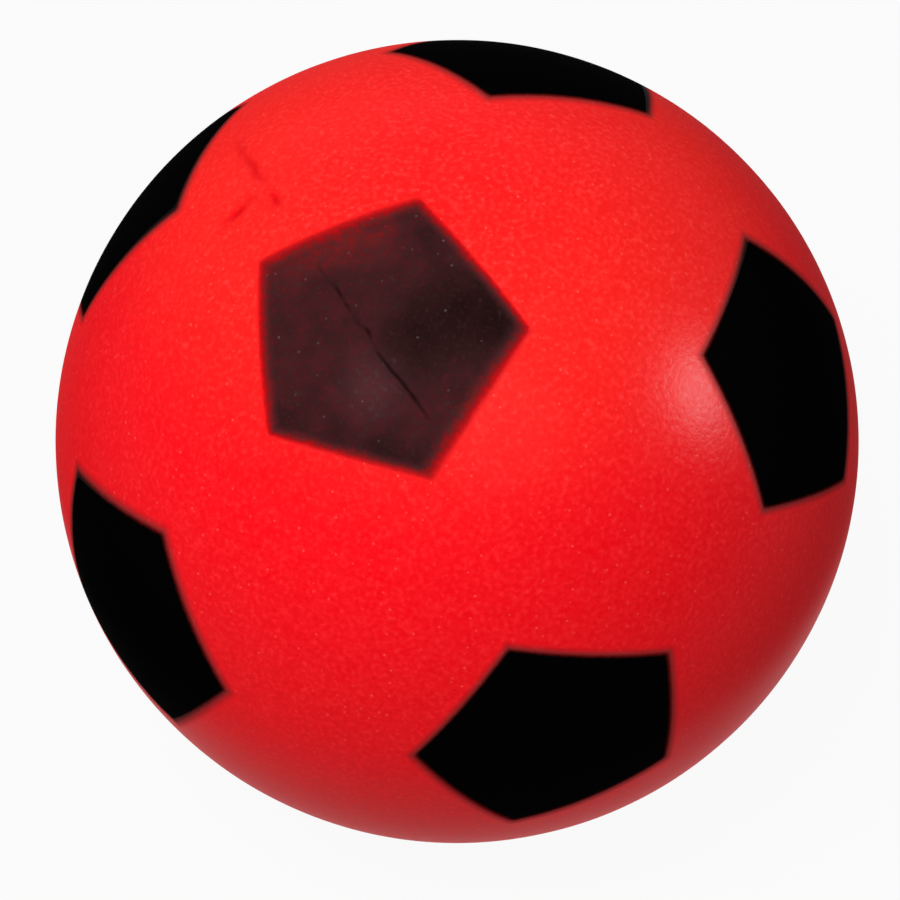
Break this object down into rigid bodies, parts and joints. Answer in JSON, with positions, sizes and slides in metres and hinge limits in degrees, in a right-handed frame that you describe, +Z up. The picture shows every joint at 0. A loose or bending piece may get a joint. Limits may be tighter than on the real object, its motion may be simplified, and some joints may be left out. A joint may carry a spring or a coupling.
{
  "type": "foam ball",
  "caption": "Solid ball of soft foam printed with the traditional football pattern of dark pentagons, for kicking and catching indoors.",
  "frame": {"origin": "centre of the ball", "axes": "+Z up, out between the two top pentagons; -Y faces the viewer; +X to the viewer's right; each axis runs through the middle of an edge of the pattern"},
  "size_m": [0.2, 0.2, 0.2],
  "materials": {
    "red_foam": "matte",
    "dense_ink": "matte",
    "thin_ink": "matte"
  },
  "bodies": {
    "root": {"foam_body": "red_foam", "ink_top_front": "thin_ink", "ink_top_back": "dense_ink", "ink_right_upper": "dense_ink", "ink_right_lower": "dense_ink", "ink_left_upper": "dense_ink", "ink_left_lower": "dense_ink", "ink_front_right": "dense_ink", "ink_front_left": "dense_ink", "ink_back_right": "dense_ink", "ink_back_left": "dense_ink", "ink_bottom_front": "dense_ink", "ink_bottom_back": "dense_ink"}
  },
  "joints": []
}
